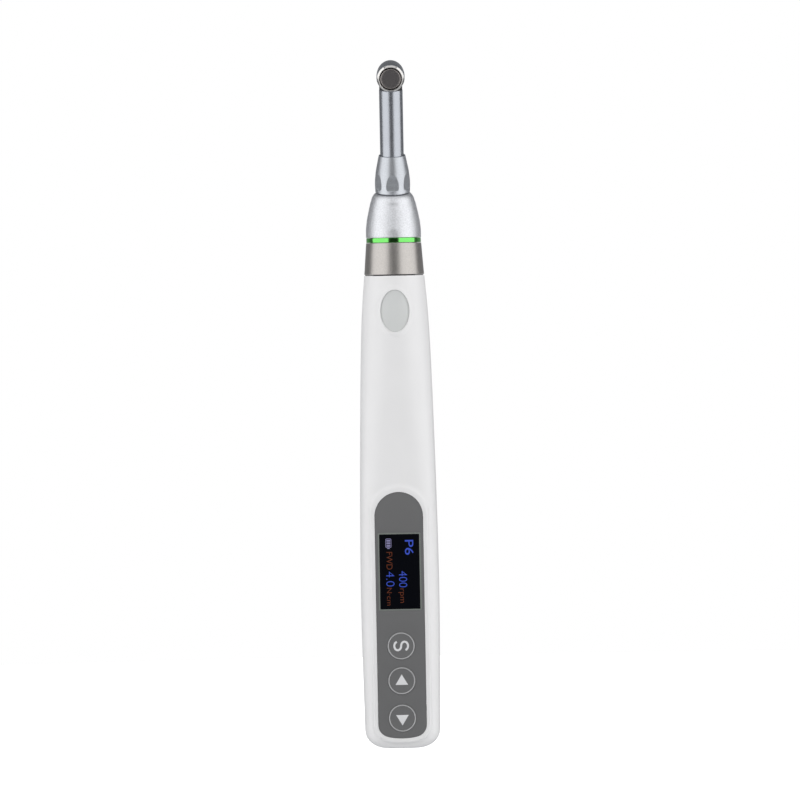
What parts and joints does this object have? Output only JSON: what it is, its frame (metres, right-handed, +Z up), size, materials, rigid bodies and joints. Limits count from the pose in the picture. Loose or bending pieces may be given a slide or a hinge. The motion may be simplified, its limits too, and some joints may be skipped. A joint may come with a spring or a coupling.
{
  "type": "cordless endodontic motor",
  "caption": "Cordless handheld dental motor with a slim reduction contra-angle, push-button file chuck, colour screen, keys and an oval power button.",
  "frame": {"origin": "centre of the flat base at the handle's lower end", "axes": "+Z up the handle towards the head; the control panel and the push-button cap face -Y; +X is to the right of the panel"},
  "size_m": [0.0228, 0.0261, 0.1998],
  "materials": {
    "white_shell": "satin gloss",
    "grey_panel": "fine satin",
    "light_grey_button": "matt",
    "black_window": "polished, tinted",
    "satin_silver": "bead-blasted satin",
    "polished_silver": "polished",
    "champagne_metal": "anodised satin",
    "dark_metal": "dark satin",
    "green_ring": "anodised gloss",
    "steel": "machined",
    "brass": "machined",
    "gold_contact": "gold plated",
    "black_rubber": "matt",
    "circuit_board": "solder mask",
    "black_plastic": "matt",
    "battery": "plastic sleeve"
  },
  "bodies": {
    "handle": {"front_shell": "white_shell", "back_shell": "white_shell", "control_panel": "grey_panel", "display_lens": "black_window", "display_module": "black_plastic", "switch_down": "black_plastic", "switch_up": "black_plastic", "switch_set": "black_plastic", "switch_power": "black_plastic", "button_board": "circuit_board", "main_board": "circuit_board", "battery_cell": "battery", "battery_holder": "black_plastic", "battery_tab_plus": "steel", "battery_tab_minus": "steel", "charge_contact_left": "gold_contact", "charge_contact_right": "gold_contact", "screw_lower_left": "steel", "screw_lower_right": "steel", "screw_upper": "steel", "motor_can": "steel", "motor_rear_cover": "black_plastic", "motor_rear_bearing": "steel", "motor_front_bearing": "steel", "motor_flange": "steel", "motor_ribbon": "brass", "spigot_seal": "black_rubber", "collar_seal": "black_rubber", "collar": "champagne_metal"},
    "power_button": {"power_button": "light_grey_button"},
    "set_key": {"key_set": "grey_panel"},
    "up_key": {"key_up": "grey_panel"},
    "down_key": {"key_down": "grey_panel"},
    "rotor": {"rotor_magnet": "dark_metal", "motor_shaft": "steel"},
    "snap_ring": {"retaining_ring": "steel"},
    "contra_angle": {"sleeve": "satin_silver", "colour_band": "green_ring", "coupling_bush": "brass", "gear_cover": "steel", "input_bearing": "steel", "ring_gear": "steel", "nose_ring": "satin_silver", "head_housing": "satin_silver", "neck_bearing_rear": "steel", "neck_bearing_front": "steel", "head_cap": "polished_silver", "button_spring": "steel", "chuck_bearing_upper": "steel", "chuck_bearing_lower": "steel"},
    "input_shaft": {"input_shaft": "steel"},
    "planet_carrier": {"planet_carrier": "steel"},
    "planet_1": {"planet_gear_1": "brass"},
    "planet_2": {"planet_gear_2": "brass"},
    "planet_3": {"planet_gear_3": "brass"},
    "neck_shaft": {"neck_shaft": "steel"},
    "chuck": {"chuck_spindle": "steel", "chuck_gear": "brass", "file_latch": "steel"},
    "chuck_button": {"push_button": "dark_metal"}
  },
  "joints": [
    {"name": "power_press", "type": "slide", "parent": "handle", "child": "power_button", "axis": [0, 1, 0], "range_m": [0, 0.0003], "stiffness_N_per_m": 3000, "springref_m": -0.0003},
    {"name": "set_press", "type": "slide", "parent": "handle", "child": "set_key", "axis": [0, 1, 0], "range_m": [0, 0.00035], "stiffness_N_per_m": 3000, "springref_m": -0.0003},
    {"name": "up_press", "type": "slide", "parent": "handle", "child": "up_key", "axis": [0, 1, 0], "range_m": [0, 0.00035], "stiffness_N_per_m": 3000, "springref_m": -0.0003},
    {"name": "down_press", "type": "slide", "parent": "handle", "child": "down_key", "axis": [0, 1, 0], "range_m": [0, 0.00035], "stiffness_N_per_m": 3000, "springref_m": -0.0003},
    {"name": "motor_spin", "type": "hinge", "parent": "handle", "child": "rotor", "pos_m": [0, 0, 0.12], "axis": [0, 0, 1], "continuous": true},
    {"name": "pull_off", "type": "slide", "parent": "handle", "child": "snap_ring", "axis": [0, 0, 1], "range_m": [0, 0.012]},
    {"name": "head_swivel", "type": "hinge", "parent": "snap_ring", "child": "contra_angle", "pos_m": [0, 0, 0.148], "axis": [0, 0, 1], "continuous": true},
    {"name": "input_spin", "type": "hinge", "parent": "contra_angle", "child": "input_shaft", "pos_m": [0, 0, 0.15], "axis": [0, 0, 1], "continuous": true},
    {"name": "carrier_spin", "type": "hinge", "parent": "contra_angle", "child": "planet_carrier", "pos_m": [0, 0, 0.1556], "axis": [0, 0, 1], "continuous": true},
    {"name": "planet_spin_1", "type": "hinge", "parent": "planet_carrier", "child": "planet_1", "pos_m": [0.00336, 0, 0.154], "axis": [0, 0, 1], "continuous": true},
    {"name": "planet_spin_2", "type": "hinge", "parent": "planet_carrier", "child": "planet_2", "pos_m": [-0.00168, 0.00291, 0.154], "axis": [0, 0, 1], "continuous": true},
    {"name": "planet_spin_3", "type": "hinge", "parent": "planet_carrier", "child": "planet_3", "pos_m": [-0.00168, -0.00291, 0.154], "axis": [0, 0, 1], "continuous": true},
    {"name": "neck_spin", "type": "hinge", "parent": "contra_angle", "child": "neck_shaft", "pos_m": [0, 0, 0.157], "axis": [0, -0.2079, 0.9781], "continuous": true},
    {"name": "chuck_spin", "type": "hinge", "parent": "contra_angle", "child": "chuck", "pos_m": [0, -0.00813, 0.19525], "axis": [0, -0.9781, -0.2079], "continuous": true},
    {"name": "chuck_release", "type": "slide", "parent": "contra_angle", "child": "chuck_button", "axis": [0, 0.9781, 0.2079], "range_m": [0, 0.0008], "stiffness_N_per_m": 4000, "springref_m": -0.0004, "deforming": ["button_spring"]}
  ],
  "couplings": [
    {"joint": "input_spin", "follows": "motor_spin", "ratio": 1},
    {"joint": "carrier_spin", "follows": "motor_spin", "ratio": 0.25},
    {"joint": "planet_spin_1", "follows": "motor_spin", "ratio": -0.75},
    {"joint": "planet_spin_2", "follows": "motor_spin", "ratio": -0.75},
    {"joint": "planet_spin_3", "follows": "motor_spin", "ratio": -0.75},
    {"joint": "neck_spin", "follows": "motor_spin", "ratio": 0.25},
    {"joint": "chuck_spin", "follows": "motor_spin", "ratio": 0.16667}
  ]
}
